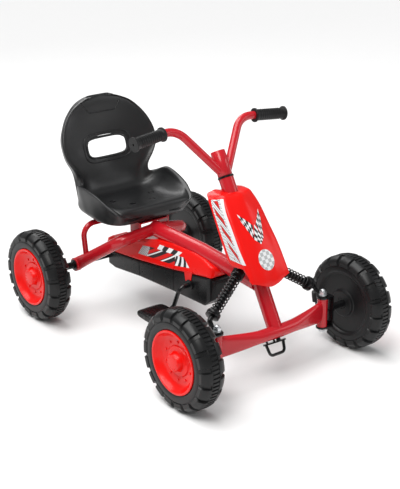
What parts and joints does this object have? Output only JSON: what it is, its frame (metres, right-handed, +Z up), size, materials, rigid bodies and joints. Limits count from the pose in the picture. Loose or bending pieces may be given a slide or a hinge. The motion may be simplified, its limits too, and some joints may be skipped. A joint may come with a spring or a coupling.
{
  "type": "pedal go kart",
  "caption": "Child's pedal go kart: steel tube frame, kingpin steering, chain-driven rear axle, hollow plastic wheels, bucket seat, front fairing and dummy shock absorbers.",
  "frame": {"origin": "on the ground, midway between the axles, on the centre plane", "axes": "+Z up, the kart faces -Y, +X is to the left of the rider"},
  "size_m": [0.645, 0.952, 0.6364],
  "materials": {
    "red_paint": "gloss enamel on steel tube",
    "red_plastic": "satin gloss blow-moulded plastic",
    "seat_plastic": "satin black blow-moulded plastic",
    "tyre_plastic": "dull charcoal blow-moulded plastic",
    "black_paint": "semi-gloss black enamel",
    "zinc": "bright zinc plate",
    "grip_rubber": "ribbed soft black grip",
    "black_plastic": "injection-moulded black plastic"
  },
  "bodies": {
    "chassis": {"front_beam": "red_paint", "kingpin_tube_right": "red_paint", "kingpin_tube_left": "red_paint", "steering_column": "red_paint", "main_tube": "red_paint", "rear_fork_right": "red_paint", "rear_fork_left": "red_paint", "seat_hoop": "red_paint", "seat_bracket": "red_paint", "seat_shell": "seat_plastic", "seat_bolts": "zinc", "fairing": "red_plastic", "shock_bracket": "red_paint", "fairing_screws": "zinc", "shock_strut_right": "black_plastic", "shock_strut_left": "black_plastic", "shock_spring_right": "black_paint", "shock_spring_left": "black_paint", "kingpin_bolt_right": "zinc", "kingpin_bolt_left": "zinc", "column_bush_top": "black_plastic", "column_bush_bottom": "black_plastic", "axle_bush_right": "black_plastic", "axle_bush_left": "black_plastic", "crank_bearings": "black_plastic", "chain_cover_upper": "red_plastic", "chain_case_lower": "black_plastic", "chain_case_screws": "zinc", "drive_chain": "zinc"},
    "steering": {"handlebar": "red_paint", "grip_right": "grip_rubber", "grip_left": "grip_rubber", "stem_bolt": "zinc", "steering_shaft": "black_paint"},
    "knuckle_right": {"knuckle_right": "black_paint", "front_axle_nut_right": "zinc"},
    "knuckle_left": {"knuckle_left": "black_paint", "front_axle_nut_left": "zinc"},
    "tie_rod_right": {"tie_rod_right": "black_paint"},
    "tie_rod_left": {"tie_rod_left": "black_paint"},
    "front_wheel_right": {"front_tyre_right": "tyre_plastic", "front_hub_cap_right": "red_plastic", "front_wheel_bush_right": "black_plastic"},
    "front_wheel_left": {"front_tyre_left": "tyre_plastic", "front_hub_cap_left": "red_plastic", "front_wheel_bush_left": "black_plastic"},
    "rear_axle": {"rear_axle": "black_paint", "axle_spacers": "black_plastic", "axle_sprocket": "zinc", "rear_axle_nuts": "zinc", "rear_tyre_right": "tyre_plastic", "rear_hub_cap_right": "red_plastic", "rear_drive_hub": "zinc"},
    "rear_wheel_left": {"rear_tyre_left": "tyre_plastic", "rear_hub_cap_left": "red_plastic", "rear_wheel_bush_left": "black_plastic"},
    "crank": {"crank": "black_paint", "crank_sprocket": "zinc"},
    "pedal_right": {"pedal_right": "black_plastic"},
    "pedal_left": {"pedal_left": "black_plastic"}
  },
  "joints": [
    {"name": "steering", "type": "hinge", "parent": "chassis", "child": "steering", "pos_m": [0, -0.361, 0.13], "axis": [0, 0.4886, 0.8725], "range_deg": [-30, 30]},
    {"name": "knuckle_right", "type": "hinge", "parent": "chassis", "child": "knuckle_right", "pos_m": [-0.1805, -0.346, 0.13], "axis": [0, 0, 1], "range_deg": [-30, 30]},
    {"name": "tie_rod_right", "type": "hinge", "parent": "knuckle_right", "child": "tie_rod_right", "pos_m": [-0.1925, -0.311, 0.105], "axis": [0, 0, 1], "range_deg": [-30, 30]},
    {"name": "front_wheel_right", "type": "hinge", "parent": "knuckle_right", "child": "front_wheel_right", "pos_m": [-0.287, -0.346, 0.13], "axis": [1, 0, 0], "continuous": true},
    {"name": "knuckle_left", "type": "hinge", "parent": "chassis", "child": "knuckle_left", "pos_m": [0.1805, -0.346, 0.13], "axis": [0, 0, 1], "range_deg": [-30, 30]},
    {"name": "tie_rod_left", "type": "hinge", "parent": "knuckle_left", "child": "tie_rod_left", "pos_m": [0.1925, -0.311, 0.105], "axis": [0, 0, 1], "range_deg": [-30, 30]},
    {"name": "front_wheel_left", "type": "hinge", "parent": "knuckle_left", "child": "front_wheel_left", "pos_m": [0.287, -0.346, 0.13], "axis": [1, 0, 0], "continuous": true},
    {"name": "crank", "type": "hinge", "parent": "chassis", "child": "crank", "pos_m": [0, -0.062, 0.17], "axis": [1, 0, 0], "continuous": true},
    {"name": "rear_axle", "type": "hinge", "parent": "chassis", "child": "rear_axle", "pos_m": [0, 0.346, 0.13], "axis": [1, 0, 0], "continuous": true},
    {"name": "rear_wheel_left", "type": "hinge", "parent": "rear_axle", "child": "rear_wheel_left", "pos_m": [0.277, 0.346, 0.13], "axis": [1, 0, 0], "continuous": true},
    {"name": "pedal_right", "type": "hinge", "parent": "crank", "child": "pedal_right", "pos_m": [0, -0.02946, 0.09692], "axis": [1, 0, 0], "continuous": true},
    {"name": "pedal_left", "type": "hinge", "parent": "crank", "child": "pedal_left", "pos_m": [0, -0.09454, 0.24308], "axis": [1, 0, 0], "continuous": true}
  ],
  "couplings": [
    {"joint": "knuckle_right", "follows": "steering", "ratio": 1},
    {"joint": "knuckle_left", "follows": "steering", "ratio": 1},
    {"joint": "tie_rod_right", "follows": "steering", "ratio": -1},
    {"joint": "tie_rod_left", "follows": "steering", "ratio": -1},
    {"joint": "rear_axle", "follows": "crank", "ratio": 1.2308}
  ]
}
